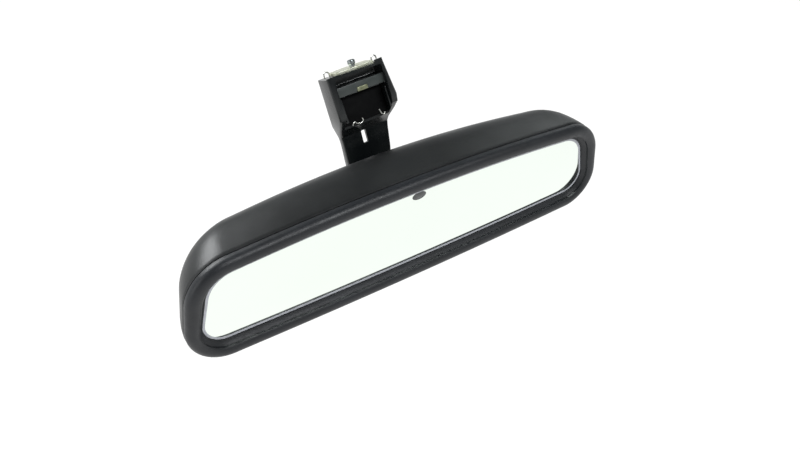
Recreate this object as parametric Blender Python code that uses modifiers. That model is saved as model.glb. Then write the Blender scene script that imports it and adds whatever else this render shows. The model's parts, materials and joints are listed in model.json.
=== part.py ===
"""Interior rearview mirror of the self-dimming kind: a head that turns on a ball joint, held by a
short stalk whose foot is fixed to a sloping windscreen.

Sizes are millimetres in the head's own frame, whose origin is the middle of the mirror glass:
X runs along the mirror, Y away from the driver and Z up. One empty moves that frame so that the
world origin is the middle of the foot's windscreen face.
"""

from math import asin, atan2, cos, pi, radians, sin, sqrt, tan

import bmesh
import bpy
from mathutils import Euler, Matrix, Vector

MM = 0.001
GAP = 0.3  # between pieces that touch

# Glass opening in the bezel: its sides lean in towards an arched top edge.
OPENING_HALF_WIDTH = 112.8
OPENING_LEAN = 5.0
OPENING_HALF_HEIGHT = 22.6
TOP_ARCH = 5.4
BOTTOM_ARCH = 1.9
TOP_RADIUS = 15.9
BOTTOM_RADIUS = 11.3

# Head, front to back.
BEZEL_WIDTH = 8.8
BEZEL_BACK = 0.6
CROWN_RISE = 3.7
HOUSING_WALL = 2.2
HOUSING_DEPTH = 37.5
END_SHALLOWNESS = 0.16
GLASS_THICKNESS = 1.6
SEAL_THICKNESS = 0.3
FOAM_THICKNESS = 0.8
CARRIER_THICKNESS = 2.2
FRONT_GLASS_GROW = 1.6
REAR_GLASS_GROW = 0.8
CARRIER_GROW = 3.0

REAR_GLASS_Y = GLASS_THICKNESS + SEAL_THICKNESS + 2 * GAP
FOAM_Y = REAR_GLASS_Y + GLASS_THICKNESS + GAP
CARRIER_Y = FOAM_Y + FOAM_THICKNESS + GAP
CARRIER_BACK = CARRIER_Y + CARRIER_THICKNESS

# Oval window of the glare sensor.
SENSOR_Z = 19.2
SENSOR_HALF_WIDTH = 4.0
SENSOR_HALF_HEIGHT = 2.3

# Ball joint.
BALL_Y = 26.0
BALL_RADIUS = 8.0
NECK_RADIUS = 3.7
LINER_THICKNESS = 1.5
CUP_THICKNESS = 1.2
SOCKET_MOUTH = radians(53)  # half angle of the way out for the neck
TOWER_RADIUS = 16.5
CLAMP_THICKNESS = 1.3
LINER_INNER = BALL_RADIUS + GAP
LINER_OUTER = LINER_INNER + LINER_THICKNESS
CUP_INNER = LINER_OUTER + GAP
CUP_OUTER = CUP_INNER + CUP_THICKNESS
TOWER_BORE = CUP_OUTER + 0.4
TOWER_BACK = BALL_Y + 4.0
CLAMP_SCREW_RADIUS = 14.2

# Circuit board.
BOARD_Y = 12.0
BOARD_THICKNESS = 1.6
BOARD_BACK = BOARD_Y + BOARD_THICKNESS
BOARD_LOW = (-42.0, -17.5)
BOARD_HIGH = (72.0, 22.0)
BOARD_SCREWS = ((-36.0, -12.0), (66.0, -12.0), (66.0, 15.0))

# Stalk and its foot.
WINDSCREEN_SLOPE = radians(25)
STALK_ROLL = radians(-4.5)  # the stalk leans to the head's left, turned about the ball
FOOT_FRONT = (50.0, 65.2)  # Y and Z of the foot's front top edge, before the roll
FOOT_WIDTH = 30.5
FOOT_DEPTH = 13.0
LIP_THICKNESS = 1.0  # low wall along the foot's front edge
LIP_SLANT = radians(2.3)
SEAT_WIDTH = 21.6
SEAT_DEPTH = 10.4
SEAT_THICKNESS = 1.6
PIN_FORWARD = 3.2
PIN_HEIGHT = 3.2
EYE_LEFT_X = -12.95
EYE_RIGHT_X = 13.9
EYE_Y = 7.0
BAY_WIRE = (6.9, -26.2)  # Y and Z in the foot's frame
ARM_FRONT = 43.4  # Y of the arm's lower front face
ARM_DEPTH = 6.6

FOOT_UP = Vector((0, sin(WINDSCREEN_SLOPE), cos(WINDSCREEN_SLOPE)))
FOOT_BACK = Vector((0, cos(WINDSCREEN_SLOPE), -sin(WINDSCREEN_SLOPE)))
FOOT_CENTRE = Vector((0, *FOOT_FRONT)) + FOOT_BACK * FOOT_DEPTH / 2
TO_FOOT = Euler((-WINDSCREEN_SLOPE, 0, 0)).to_matrix().to_4x4()
BALL = Vector((0, BALL_Y, 0))
ROLL = Euler((0, STALK_ROLL, 0)).to_matrix().to_4x4()
ROLLED = Matrix.Translation(BALL) @ ROLL @ Matrix.Translation(-BALL)
LIP_FRONT = tuple((Vector((0, *FOOT_FRONT)) + FOOT_UP * 2.6).yz)
SEAT_FACE = ROLLED @ (FOOT_CENTRE + FOOT_UP * (GAP + SEAT_THICKNESS))


# ---------------------------------------------------------------- scene and helpers


def clear_scene():
    for obj in list(bpy.data.objects):
        bpy.data.objects.remove(obj)


def new_collection(name):
    collection = bpy.data.collections.new(name)
    bpy.context.scene.collection.children.link(collection)
    return collection


def material(name, colour, roughness, metallic=0.0):
    made = bpy.data.materials.new(name)
    made.use_nodes = True
    shader = made.node_tree.nodes["Principled BSDF"]
    shader.inputs["Base Color"].default_value = (*colour, 1)
    shader.inputs["Roughness"].default_value = roughness
    shader.inputs["Metallic"].default_value = metallic
    return made


def add(name, bm, look, place=Matrix()):
    """A part from a bmesh in millimetres, set in the head's frame by place."""
    bmesh.ops.transform(bm, matrix=Matrix.Diagonal((MM, MM, MM, 1)), verts=bm.verts)
    bmesh.ops.recalc_face_normals(bm, faces=bm.faces)
    mesh = bpy.data.meshes.new(name)
    bm.to_mesh(mesh)
    bm.free()
    obj = bpy.data.objects.new(name, mesh)
    PARTS.objects.link(obj)
    obj.parent = HEAD_FRAME
    rotation = place.to_3x3().to_4x4()
    obj.matrix_local = Matrix.Translation(place.translation * MM) @ rotation
    if look:
        obj.data.materials.append(look)
        obj.data.shade_smooth()
        obj.data.set_sharp_from_angle(angle=radians(35))
    return obj


def cutter(name, bm, place=Matrix()):
    obj = add(name, bm, None, place)
    PARTS.objects.unlink(obj)
    CUTTERS.objects.link(obj)
    obj.hide_render = True
    obj.display_type = "WIRE"
    return obj


def boolean(target, other, operation="DIFFERENCE"):
    modifier = target.modifiers.new(operation.lower(), "BOOLEAN")
    modifier.operation = operation
    modifier.object = other


def bevel(obj, width, segments=2, angle=35):
    modifier = obj.modifiers.new("bevel", "BEVEL")
    modifier.width = width * MM
    modifier.segments = segments
    modifier.limit_method = "ANGLE"
    modifier.angle_limit = radians(angle)


def rings_to_bmesh(rings, wrap=False):
    """Skins a stack of rings of equal length; wrap joins the last ring to the first, and
    otherwise both ends are capped."""
    bm = bmesh.new()
    rows = [[bm.verts.new(point) for point in ring] for ring in rings]
    count = len(rings[0])
    last = len(rows) if wrap else len(rows) - 1
    for i in range(last):
        near, far = rows[i], rows[(i + 1) % len(rows)]
        for j in range(count):
            k = (j + 1) % count
            bm.faces.new((near[j], near[k], far[k], far[j]))
    if not wrap:
        bm.faces.new(rows[0])
        bm.faces.new(rows[-1])
    return bm


def box(low, high):
    bm = bmesh.new()
    bmesh.ops.create_cube(bm, size=1)
    low, high = Vector(low), Vector(high)
    bmesh.ops.scale(bm, vec=high - low, verts=bm.verts)
    bmesh.ops.translate(bm, vec=(low + high) / 2, verts=bm.verts)
    return bm


def rod(radius, low, high, sides=24, tip=None):
    """A cylinder, or a cone to the radius tip, along Y from low to high."""
    bm = bmesh.new()
    top = radius if tip is None else tip
    bmesh.ops.create_cone(
        bm, cap_ends=True, segments=sides, radius1=radius, radius2=top, depth=high - low
    )
    # the cone's own axis is Z, from radius1 below to radius2 above
    bmesh.ops.rotate(bm, matrix=Matrix.Rotation(-pi / 2, 3, "X"), verts=bm.verts)
    bmesh.ops.translate(bm, vec=(0, (low + high) / 2, 0), verts=bm.verts)
    return bm


def turned(profile, steps=32):
    """A closed solid turned about Y from (radius, y) points that start and end on the axis, or a
    ring where they don't."""
    rings = []
    for radius, y in profile:
        turn = [2 * pi * i / steps for i in range(steps)]
        rings.append([(radius * cos(a), y, radius * sin(a)) for a in turn])
    on_axis = profile[0][0] == 0
    bm = rings_to_bmesh(rings, wrap=not on_axis)
    if on_axis:
        bmesh.ops.remove_doubles(bm, verts=bm.verts, dist=1e-4)
    return bm


def at(x, y, z):
    return Matrix.Translation((x, y, z))


# ---------------------------------------------------------------- the head's outline


def fillet(corner, along_in, along_out, radius, steps):
    """Arc that rounds a corner; the two unit vectors leave the corner along its edges."""
    half = along_in.angle(along_out) / 2
    centre = corner + (along_in + along_out).normalized() * radius / sin(half)
    first = corner + along_in * radius / tan(half) - centre
    last = corner + along_out * radius / tan(half) - centre
    start = atan2(first.y, first.x)
    sweep = (atan2(last.y, last.x) - start + pi) % (2 * pi) - pi
    turns = [start + sweep * i / steps for i in range(steps + 1)]
    return [centre + Vector((cos(a), sin(a))) * radius for a in turns]


def head_outline(grow, softer=0.0, edge_steps=18, corner_steps=6):
    """Outline in X and Z, grow outside the glass opening, with corner radii softer larger."""
    top_half = OPENING_HALF_WIDTH - OPENING_LEAN + grow
    bottom_half = OPENING_HALF_WIDTH + OPENING_LEAN + grow
    reach = OPENING_HALF_WIDTH**2

    def top(x):
        return OPENING_HALF_HEIGHT + grow - TOP_ARCH * x * x / reach

    def bottom(x):
        return -OPENING_HALF_HEIGHT - grow + BOTTOM_ARCH * x * x / reach

    upper = Vector((top_half, top(top_half)))
    lower = Vector((bottom_half, bottom(bottom_half)))
    down = (lower - upper).normalized()
    top_in = Vector((-1, 2 * TOP_ARCH * top_half / reach)).normalized()
    bottom_in = Vector((-1, -2 * BOTTOM_ARCH * bottom_half / reach)).normalized()
    largest = 0.46 * (upper.y - lower.y)
    top_radius = min(max(TOP_RADIUS + grow, 4) + softer, largest)
    bottom_radius = min(max(BOTTOM_RADIUS + grow, 4) + softer, largest)
    right = fillet(upper, top_in, down, top_radius, corner_steps)
    right += fillet(lower, -down, bottom_in, bottom_radius, corner_steps)
    left = [Vector((-p.x, p.y)) for p in reversed(right)]
    points = []
    for i in range(1, edge_steps):
        x = right[0].x * (2 * i / edge_steps - 1)
        points.append(Vector((x, top(x))))
    points += right
    for i in range(1, edge_steps):
        x = right[-1].x * (1 - 2 * i / edge_steps)
        points.append(Vector((x, bottom(x))))
    return points + left


def outline_ring(grow, y, softer=0.0):
    return [(p.x, y, p.y) for p in head_outline(grow, softer)]


def outline_slab(grow, front, back):
    return rings_to_bmesh([outline_ring(grow, front), outline_ring(grow, back)])


def oval_rod(half_width, half_height, front, back, steps=28):
    turn = [2 * pi * i / steps for i in range(steps)]
    rings = []
    for y in (front, back):
        rings.append([(half_width * cos(a), y, SENSOR_Z + half_height * sin(a)) for a in turn])
    return rings_to_bmesh(rings)


# ---------------------------------------------------------------- head shell and glass


def make_bezel():
    """Rounded frame: a lip over the glass, a flank that rises at about 45 degrees to the crown,
    and a skirt that sits inside the housing."""
    section = [(0.0, -GAP), (1.0, -0.7), (3.6, -3.2)]
    middle = BEZEL_WIDTH - CROWN_RISE
    for i in range(0, 8):
        a = radians(125) * (1 - i / 8)
        section.append((middle + CROWN_RISE * cos(a), -1.0 - CROWN_RISE * sin(a)))
    section += [
        (BEZEL_WIDTH, -1.0),
        (BEZEL_WIDTH, BEZEL_BACK),
        (5.6, BEZEL_BACK),
        (5.6, 4.5),
        (4.4, 4.5),
        (4.4, -GAP),
    ]
    rings = [outline_ring(grow, y) for grow, y in section]
    return add("bezel", rings_to_bmesh(rings, wrap=True), BLACK_SOFT)


# Each section of the housing: growth outside the opening, depth in the middle, extra corner
# radius, and how much shorter each end is.
HOUSING_SECTIONS = (
    (BEZEL_WIDTH + 0.1, BEZEL_BACK + GAP, 0.0, 0.0),
    (BEZEL_WIDTH + 0.6, 6.0, 0.0, 1.0),
    (BEZEL_WIDTH + 1.0, 12.0, 0.2, 2.6),
    (BEZEL_WIDTH + 1.0, 18.0, 0.5, 4.6),
    (BEZEL_WIDTH - 0.1, 24.0, 1.2, 7.8),
    (BEZEL_WIDTH - 3.2, 29.5, 2.8, 13.2),
    (BEZEL_WIDTH - 8.2, 33.8, 4.8, 22.0),
    (BEZEL_WIDTH - 14.7, 36.4, 6.2, 34.0),
    (BEZEL_WIDTH - 23.0, HOUSING_DEPTH, 6.0, 48.0),
)


def housing_y(x, depth):
    """The housing is deepest in the middle: its sections bend forward towards the ends."""
    start = BEZEL_BACK + GAP
    return start + (depth - start) * (1 - END_SHALLOWNESS * (x / OPENING_HALF_WIDTH) ** 2)


def cap_in_strips(bm, corner_points=7):
    """Closes both bent ends of a housing with strips from the top edge to the bottom edge."""
    bm.verts.ensure_lookup_table()
    count = len(head_outline(0))
    for row in (bm.verts[:count], bm.verts[-count:]):
        row = row[-corner_points:] + row[:-corner_points]
        for i in range(count // 2 - 1):
            bm.faces.new((row[i], row[i + 1], row[-2 - i], row[-1 - i]))


def housing_solid(inset):
    rings = []
    for i, (grow, depth, softer, shorter) in enumerate(HOUSING_SECTIONS):
        squeeze = 1 - shorter / (OPENING_HALF_WIDTH + BEZEL_WIDTH)
        points = [Vector((p.x * squeeze, p.y)) for p in head_outline(grow - inset, softer)]
        y = depth - inset if i else depth - 3.0 * bool(inset)
        rings.append([(p.x, housing_y(p.x, y) if i else y, p.y) for p in points])
    bm = rings_to_bmesh(rings)
    ends = [face for face in bm.faces if len(face.verts) > 4]
    bmesh.ops.delete(bm, geom=ends, context="FACES_ONLY")
    cap_in_strips(bm)
    return bm


def make_rear_housing():
    housing = add("rear_housing", housing_solid(0.0), BLACK_SATIN)
    boolean(housing, cutter("housing_hollow", housing_solid(HOUSING_WALL)))
    way_out = rod(9.0, BALL_Y + 4, HOUSING_DEPTH + 4, 32, tip=12.6)
    boolean(housing, cutter("neck_opening", way_out))
    low, high = CONNECTOR_LOW, CONNECTOR_HIGH
    slot = box((low[0] - GAP, 24, low[1] - GAP), (high[0] + GAP, 50, high[1] + GAP))
    boolean(housing, cutter("connector_opening", slot))
    eye = rod(AMBIENT_RADIUS + GAP, 20, 50, 20)
    boolean(housing, cutter("ambient_opening", eye, at(AMBIENT_X, 0, AMBIENT_Z)))
    return housing


def make_glass():
    add("front_glass", outline_slab(FRONT_GLASS_GROW, 0, GLASS_THICKNESS), MIRROR)
    back = REAR_GLASS_Y + GLASS_THICKNESS
    rear = add("rear_glass", outline_slab(REAR_GLASS_GROW, REAR_GLASS_Y, back), MIRROR)
    front, behind = REAR_GLASS_Y - 1, back + 1
    hole = oval_rod(SENSOR_HALF_WIDTH, SENSOR_HALF_HEIGHT, front, behind)
    boolean(rear, cutter("sensor_hole", hole))
    seal_front = GLASS_THICKNESS + GAP
    seal_back = seal_front + SEAL_THICKNESS
    corners = ((-1.2, seal_front), (0.6, seal_front), (0.6, seal_back), (-1.2, seal_back))
    rings = [outline_ring(grow, y) for grow, y in corners]
    add("edge_seal", rings_to_bmesh(rings, wrap=True), SEALANT)


def make_contact_strip(name, side):
    """Springy J section that grips the glass edge; side is 1 along the top, -1 along the bottom."""
    reach, stations = 78.0, 12
    arch = TOP_ARCH if side > 0 else BOTTOM_ARCH
    edge = OPENING_HALF_HEIGHT + FRONT_GLASS_GROW + GAP
    back = REAR_GLASS_Y + GLASS_THICKNESS
    # (height over the glass edge, y) round the J: behind the rear glass, over the edge
    section = (
        (-3.2, back + GAP),
        (0.0, back + GAP),
        (0.0, GLASS_THICKNESS + GAP),
        (0.4, GLASS_THICKNESS + GAP),
        (0.4, back + 0.6),
        (-3.2, back + 0.6),
    )
    rings = []
    for i in range(stations + 1):
        x = reach * (2 * i / stations - 1)
        fall = arch * (x / OPENING_HALF_WIDTH) ** 2
        rings.append([(x, y, side * (edge + up - fall)) for up, y in section])
    add(name, rings_to_bmesh(rings), TINNED)


def make_foam_pad():
    slab = outline_slab(-4.5, FOAM_Y + 0.3, FOAM_Y + 0.3 + FOAM_THICKNESS)
    pad = add("foam_pad", slab, FOAM)
    hole = oval_rod(SENSOR_HALF_WIDTH + 0.6, 2.6, FOAM_Y - 1, FOAM_Y + 3)
    boolean(pad, cutter("pad_window", hole))


# ---------------------------------------------------------------- carrier and ball joint


def boss_places():
    return [(x, z) for x, z in BOARD_SCREWS]


def make_carrier():
    slab = outline_slab(CARRIER_GROW, CARRIER_Y + 0.3, CARRIER_BACK + 0.3)
    carrier = add("carrier_plate", slab, BLACK_PLAIN)
    tower = cutter("tower", rod(TOWER_RADIUS, CARRIER_BACK - 1, TOWER_BACK, 40))
    boolean(carrier, tower, "UNION")
    for i, (x, z) in enumerate(boss_places()):
        post = cutter(f"boss_{i}", rod(3.2, CARRIER_BACK - 1, BOARD_Y - GAP, 16), at(x, 0, z))
        boolean(carrier, post, "UNION")
    for i, (x, z) in enumerate(boss_places()):
        bore = cutter(f"boss_bore_{i}", rod(1.5, CARRIER_BACK, BOARD_Y + 1, 12), at(x, 0, z))
        boolean(carrier, bore)
    socket = cutter("tower_bore", rod(TOWER_BORE, BALL_Y - TOWER_BORE, TOWER_BACK + 2, 40))
    boolean(carrier, socket)
    for i, (x, z) in enumerate(clamp_screw_places()):
        bore = cutter(f"clamp_bore_{i}", rod(0.9, TOWER_BACK - 9, TOWER_BACK + 1, 10), at(x, 0, z))
        boolean(carrier, bore)
    window = oval_rod(SENSOR_HALF_WIDTH + 0.6, 2.6, CARRIER_Y - 1, CARRIER_BACK + 4)
    boolean(carrier, cutter("carrier_window", window))


def clamp_screw_places():
    places = []
    for turn in (50, 180, 310):
        a = radians(turn)
        places.append((CLAMP_SCREW_RADIUS * cos(a), CLAMP_SCREW_RADIUS * sin(a)))
    return places


def spherical_cup(inner, outer, steps=10):
    """(radius, y) profile of a shell round the ball, open to the front and, wider, to the neck."""
    front_hole = radians(25)
    back_edge = pi - SOCKET_MOUTH
    profile = []
    for i in range(steps + 1):
        a = front_hole + (back_edge - front_hole) * i / steps
        profile.append((outer * sin(a), BALL_Y - outer * cos(a)))
    for i in range(steps + 1):
        a = back_edge + (front_hole - back_edge) * i / steps
        profile.append((inner * sin(a), BALL_Y - inner * cos(a)))
    return profile


def make_ball_joint():
    add("ball_liner", turned(spherical_cup(LINER_INNER, LINER_OUTER), 36), NYLON)
    add("socket_cup", turned(spherical_cup(CUP_INNER, CUP_OUTER), 36), STEEL)
    front = TOWER_BACK + GAP
    back = front + CLAMP_THICKNESS
    profile = ((10.8, front), (TOWER_RADIUS, front), (TOWER_RADIUS, back), (10.8, back))
    clamp = add("socket_clamp", turned(profile, 45), STEEL)
    for i, (x, z) in enumerate(clamp_screw_places()):
        hole = cutter(f"clamp_hole_{i}", rod(1.3, front - 1, back + 1, 14), at(x, 0, z))
        boolean(clamp, hole)
        make_screw(f"clamp_screw_{i + 1}", x, z, back + GAP, 0.6, 7.0, 1.8, 1.0)


def make_screw(name, x, z, under_head, shank_radius, length, head_radius, head_height):
    """Pan head screw driven forward, with a cross recess in its head."""
    y = under_head
    profile = (
        (0, y - length),
        (shank_radius * 0.6, y - length),
        (shank_radius, y - length + 1),
        (shank_radius, y),
        (head_radius, y),
        (head_radius, y + head_height * 0.6),
        (head_radius * 0.75, y + head_height),
        (0, y + head_height),
    )
    screw = add(name, turned(profile, 14), STEEL, at(x, 0, z))
    deep = y + head_height * 0.45
    for i, (wide, tall) in enumerate(((1.1, 0.25), (0.25, 1.1))):
        size = head_radius * 0.55
        slot = box((-wide * size, deep, -tall * size), (wide * size, y + 5, tall * size))
        boolean(screw, cutter(f"{name}_recess_{i}", slot, at(x, 0, z)))


def make_ball_stud():
    """Turned steel: the ball, its neck, a collar against the arm, and a shank through it."""
    collar = ARM_FRONT - GAP
    ball_edge = asin(NECK_RADIUS / BALL_RADIUS)
    profile = [(0, BALL_Y - BALL_RADIUS)]
    for i in range(1, 13):
        a = (pi - ball_edge) * i / 12
        profile.append((BALL_RADIUS * sin(a), BALL_Y - BALL_RADIUS * cos(a)))
    profile += [
        (NECK_RADIUS, collar - 3.2),
        (5.4, collar - 1.8),
        (5.4, collar),
        (2.7, collar),
        (2.7, STUD_END),
        (0, STUD_END),
    ]
    add("ball_stud", turned(profile, 32), STEEL, ROLLED)


STUD_END = ARM_FRONT + ARM_DEPTH + 4.6
NUT_Y = ARM_FRONT + ARM_DEPTH - 2.6


def make_stud_nut():
    nut = add("stud_nut", rod(5.2, NUT_Y + 1.3, NUT_Y + 5.2, 6), STEEL, ROLLED)
    hole = rod(2.7 + GAP, NUT_Y, NUT_Y + 7, 20)
    boolean(nut, cutter("nut_hole", hole, ROLLED))
    bevel(nut, 0.3, 1, 50)
    washer = ((2.7 + GAP, NUT_Y), (5.8, NUT_Y), (5.8, NUT_Y + 1.0), (2.7 + GAP, NUT_Y + 1.0))
    add("stud_washer", turned(washer, 24), STEEL, ROLLED)


# ---------------------------------------------------------------- electronics

CONNECTOR_LOW = (30.0, -4.5)
CONNECTOR_HIGH = (46.0, 4.5)
AMBIENT_X, AMBIENT_Z, AMBIENT_RADIUS = -28.0, 9.0, 3.0


def make_circuit_board():
    low, high = BOARD_LOW, BOARD_HIGH
    board = add("circuit_board", box((low[0], BOARD_Y, low[1]), (high[0], BOARD_BACK, high[1])), BOARD)
    around = rod(TOWER_RADIUS + 0.5, BOARD_Y - 1, BOARD_BACK + 1, 40)
    boolean(board, cutter("board_hole", around))
    for i, (x, z) in enumerate(BOARD_SCREWS):
        hole = rod(1.6, BOARD_Y - 1, BOARD_BACK + 1, 14)
        boolean(board, cutter(f"board_screw_hole_{i}", hole, at(x, 0, z)))
        make_screw(f"board_screw_{i + 1}", x, z, BOARD_BACK + GAP, 1.2, 5.0, 2.8, 1.6)


def make_sensors():
    pipe_back = BOARD_Y - GAP - 1.8 - GAP
    pipe = oval_rod(3.0, 1.5, REAR_GLASS_Y, pipe_back)
    add("sensor_light_pipe", pipe, SMOKED)
    low, high = (-2.2, pipe_back + GAP, SENSOR_Z - 0.9), (2.2, BOARD_Y - GAP, SENSOR_Z + 1.9)
    add("glare_sensor", box(low, high), CHIP)
    eye = rod(2.0, BOARD_BACK + GAP, BOARD_BACK + 2.5, 18)
    add("ambient_sensor", eye, CHIP, at(AMBIENT_X, 0, AMBIENT_Z))
    back = housing_y(AMBIENT_X, HOUSING_DEPTH) + 0.4
    profile = [(0, BOARD_BACK + 3), (1.9, BOARD_BACK + 3), (1.9, 28), (AMBIENT_RADIUS, 31)]
    profile += [(AMBIENT_RADIUS, back - 1), (2.0, back - 0.2), (0, back)]
    add("ambient_lens", turned(profile, 24), SMOKED, at(AMBIENT_X, 0, AMBIENT_Z))


def make_connector():
    (x0, z0), (x1, z1) = CONNECTOR_LOW, CONNECTOR_HIGH
    front, back = BOARD_BACK + GAP, HOUSING_DEPTH - 1.5
    shell = add("connector_socket", box((x0, front, z0), (x1, back, z1)), BLACK_PLAIN)
    mouth = box((x0 + 1.2, front + 8, z0 + 1.2), (x1 - 1.2, back + 1, z1 - 1.2))
    boolean(shell, cutter("connector_mouth", mouth))
    for i in range(3):
        x = (x0 + x1) / 2 + (i - 1) * 4.0
        hole = box((x - 0.8, front - 1, -0.8), (x + 0.8, front + 9, 0.8))
        boolean(shell, cutter(f"terminal_slot_{i}", hole))
        pin = add(f"terminal_{i + 1}", box((x - 0.4, front, -0.4), (x + 0.4, back - 5, 0.4)), TINNED)
        bevel(pin, 0.15, 1)


def make_board_parts():
    chip = box((-36, BOARD_BACK + GAP, -9), (-27, BOARD_BACK + 1.9, -3))
    add("dimming_controller", chip, CHIP)
    can = rod(3.1, BOARD_BACK + GAP, BOARD_BACK + 7.5, 20)
    add("capacitor", can, TINNED, at(56, 0, 8))


# ---------------------------------------------------------------- stalk and foot


def rounded_section(front, shift, width, depth, slope, radius):
    """Rounded rectangle whose front edge is at front; it reaches back and down by slope."""
    back = Vector((0, cos(slope), -sin(slope)))
    centre = Vector((shift, *front)) + back * depth / 2
    steps, ring = 4, []
    for quarter, (sx, sy) in enumerate(((1, 1), (-1, 1), (-1, -1), (1, -1))):
        cx, cy = sx * (width / 2 - radius), sy * (depth / 2 - radius)
        for i in range(steps + 1):
            a = pi / 2 * (quarter + i / steps)
            across, along = cx + radius * cos(a), cy + radius * sin(a)
            ring.append(centre + Vector((across, 0, 0)) + back * along)
    return ring


# Up the stalk: front edge in Y and Z, shift to the right, width, depth, slope, corner radius.
STALK_SECTIONS = (
    ((ARM_FRONT + 0.8, -9.5), 0.0, 13.0, 4.4, 0, 1.9),
    ((ARM_FRONT, -6.0), 0.2, 18.7, 6.2, 0, 2.2),
    ((ARM_FRONT, 0.0), 0.5, 22.7, ARM_DEPTH, 0, 2.2),
    ((ARM_FRONT + 0.4, 7.5), 0.45, 24.7, ARM_DEPTH, 3, 2.0),
    ((ARM_FRONT + 1.2, 15.0), 0.6, 26.3, 6.2, 8, 1.8),
    ((46.2, 21.0), 0.85, 26.8, 5.6, 15, 1.5),
    ((48.4, 27.0), 1.3, 27.4, 5.2, 20, 1.3),
    ((49.4, 30.5), 1.4, 28.2, 5.2, 23, 1.2),
    ((48.4, 33.5), 1.2, 29.3, 6.6, 24, 1.2),
    ((43.6, 41.0), 0.65, 32.1, 11.4, 25, 1.2),
    ((41.2, 46.0), 0.75, 33.7, 13.8, 25, 1.2),
    ((41.8, 50.0), 0.6, 33.9, 14.2, 25, 1.2),
    (FOOT_FRONT, -0.3, 31.7, FOOT_DEPTH, 25, 1.2),
    (LIP_FRONT, -0.35, 31.4, FOOT_DEPTH, 25, 1.2),
)


def foot_frame():
    """Frame of the foot: X across, Y back along its slope, Z up out of it."""
    return ROLLED @ Matrix.Translation((0, *FOOT_FRONT)) @ TO_FOOT


def make_stalk():
    rings = []
    for front, shift, width, depth, slope, radius in STALK_SECTIONS:
        rings.append(rounded_section(front, shift, width, depth, radians(slope), radius))
    stalk = add("stalk", rings_to_bmesh(rings), BLACK_GLOSS, ROLLED)
    foot = foot_frame()
    # the bay is open to the front: its back wall follows the stalk's slant
    lean = foot @ Euler((radians(-3), 0, 0)).to_matrix().to_4x4()
    slant = foot @ Matrix.Rotation(-LIP_SLANT, 4, "Y")
    cuts = (
        ("deck", box((-20, LIP_THICKNESS, 0), (20, 20, 6)), foot),
        ("lip_top", box((-20, -6, 1.3), (20, 20, 8)), slant),
        ("cavity", box((-12.4, -16, -31.0), (14.0, 9.6, -10.2)), lean),
        ("upper_recess", box((-12.4, -6, -5.4), (13.6, 9.6, -0.9)), foot),
        ("bar_recess", box((-12.8, -16, -10.9), (14.2, 2.6, -5.0)), foot),
        ("rear_pocket", box((-8.5, 1.5, -12.0), (10.5, 14, 3.9)), web_frame()),
        ("web_slot", box((-1.25, -6, -3.3), (1.35, 10, 3.6)), web_frame()),
    )
    for name, bm, place in cuts:
        boolean(stalk, cutter(name, bm, place))
    shank = rod(2.7 + GAP, ARM_FRONT - 4, ARM_FRONT + 12, 20)
    boolean(stalk, cutter("shank_hole", shank, ROLLED))
    seat = rod(6.3, NUT_Y - GAP, ARM_FRONT + 14, 24)
    boolean(stalk, cutter("nut_seat", seat, ROLLED))
    return stalk


def web_frame():
    """Frame in the middle of the neck's slot, with Y square to the neck's front."""
    lean = Euler((-radians(23), 0, 0)).to_matrix().to_4x4()
    return ROLLED @ Matrix.Translation((0, 48.4, 27.0)) @ lean


def make_foot_plate():
    """Metal slider on the foot's top face, which goes over the windscreen button."""
    half, deep = SEAT_WIDTH / 2, SEAT_DEPTH / 2
    middle = foot_frame() @ at(0, FOOT_DEPTH / 2, 0)
    plate = box((-half, -deep, GAP), (half, deep, GAP + SEAT_THICKNESS))
    plate = add("foot_plate", plate, ZINC, middle)
    bevel(plate, 0.4, 2)


def tube(points, radius, sides=8):
    """A wire through the points; its cross sections stay square to its path."""
    points = [Vector(p) for p in points]
    rings = []
    side = None
    for i, point in enumerate(points):
        before, after = points[max(i - 1, 0)], points[min(i + 1, len(points) - 1)]
        along = (after - before).normalized()
        if side is None:
            side = along.orthogonal().normalized()
        side = (side - along * side.dot(along)).normalized()
        up = along.cross(side)
        turn = [2 * pi * k / sides for k in range(sides)]
        rings.append([point + (side * cos(a) + up * sin(a)) * radius for a in turn])
    return rings_to_bmesh(rings)


def make_foot_fittings():
    """The pin that locks the foot on its button, and the two spring eyes beside the plate."""
    seat = GAP + SEAT_THICKNESS
    turn_up = foot_frame() @ at(0, FOOT_DEPTH / 2 - PIN_FORWARD, 0)
    turn_up = turn_up @ Matrix.Rotation(pi / 2, 4, "X")
    low, high = seat + GAP, seat + GAP + PIN_HEIGHT
    profile = [(0, low), (1.5, low), (1.5, high - 2.2), (2.0, high - 1.8)]
    profile += [(2.0, high - 0.4), (1.6, high), (0, high)]
    add("lock_pin", turned(profile, 20), STEEL, turn_up)
    for name, x in (("spring_eye_left", EYE_LEFT_X), ("spring_eye_right", EYE_RIGHT_X)):
        y, low = EYE_Y, GAP
        path = [(x - 1.25, y, low), (x - 1.4, y, low + 0.8)]
        for i in range(1, 8):
            a = pi * (1 - i / 8)
            path.append((x + 1.45 * cos(a), y, low + 1.5 + 1.45 * sin(a)))
        path += [(x + 1.4, y, low + 0.8), (x + 1.25, y, low)]
        add(name, tube(path, 0.4), TINNED, foot_frame())


def make_bay_wires():
    """Two bent wire ends that lie just above the floor of the bay."""
    y, z = BAY_WIRE
    left = [(-7.8, y, z), (-7.0, y, z + 1.3), (-5.8, y, z + 1.4), (-5.0, y, z + 0.4)]
    left += [(-3.8, y, z), (-2.4, y, z + 0.1), (-1.4, y, z + 1.0), (-1.6, y, z + 2.2)]
    right = [(8.8, y, z + 3.2), (9.3, y, z + 1.6), (9.8, y, z + 0.4), (10.8, y, z)]
    right += [(11.6, y, z + 0.7)]
    add("bay_wire_left", tube(left, 0.4), TINNED, foot_frame())
    add("bay_wire_right", tube(right, 0.4), TINNED, foot_frame())


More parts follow.
